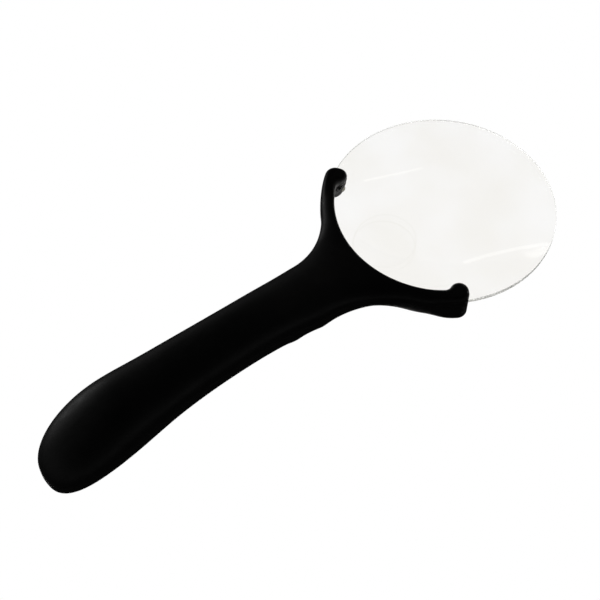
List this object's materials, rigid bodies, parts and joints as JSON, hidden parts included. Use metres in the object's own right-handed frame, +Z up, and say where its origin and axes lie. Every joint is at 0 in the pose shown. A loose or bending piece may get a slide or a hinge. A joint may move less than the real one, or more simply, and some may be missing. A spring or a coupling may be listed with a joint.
{
  "type": "low vision magnifier",
  "caption": "Hand-held lighted magnifier: a black arched handle whose fork grips a bare round lens with a stronger moulded spot, with a battery door and slide switch underneath.",
  "frame": {"origin": "centre of the overall box on the table plane that the jaws and the butt rest on", "axes": "+X runs along the handle towards the lens, +Y to the left seen from the butt, +Z up out of the lens"},
  "size_m": [0.255, 0.1, 0.0274],
  "materials": {
    "shell_black": "soft-touch satin black moulded plastic",
    "lens_clear": "clear polished moulded acrylic",
    "led_clear": "water-clear epoxy with a pale yellow die",
    "wire_grey": "thin PVC insulation",
    "wire_red": "thin PVC insulation",
    "wire_black": "thin PVC insulation",
    "board_green": "green solder mask on glass-fibre board",
    "chip_black": "moulded epoxy",
    "ferrite": "sintered ferrite",
    "steel_plated": "tin-plated steel",
    "screw_steel": "zinc-plated steel",
    "spring_steel": "nickel-plated spring wire",
    "contact_nickel": "nickel-plated steel sheet",
    "button_black": "fine-textured moulded plastic",
    "battery_sleeve": "plain printed sleeve over a steel can, with no marks"
  },
  "bodies": {
    "handle": {"upper_shell": "shell_black", "lower_shell": "shell_black", "lens": "lens_clear", "left_led": "led_clear", "right_led": "led_clear", "left_led_wires": "wire_grey", "right_led_wires": "wire_grey", "circuit_board": "board_green", "driver_chip": "chip_black", "inductor": "ferrite", "resistors": "chip_black", "switch_case": "steel_plated", "board_screws": "steel_plated", "left_battery": "battery_sleeve", "right_battery": "battery_sleeve", "left_spring": "spring_steel", "right_spring": "spring_steel", "positive_contact": "contact_nickel", "negative_contact": "contact_nickel", "link_contact": "contact_nickel", "positive_wire": "wire_red", "negative_wire": "wire_black", "shell_screws": "screw_steel"},
    "door": {"battery_door": "shell_black"},
    "switch": {"switch_stem": "button_black", "switch_button": "button_black"}
  },
  "joints": [
    {"name": "switch_slide", "type": "slide", "parent": "handle", "child": "switch", "axis": [1, 0, 0], "range_m": [0, 0.0025]},
    {"name": "door_hinge", "type": "hinge", "parent": "handle", "child": "door", "pos_m": [-0.04975, 0, 0.00629], "axis": [0, -1, 0], "range_deg": [0, 55]}
  ]
}
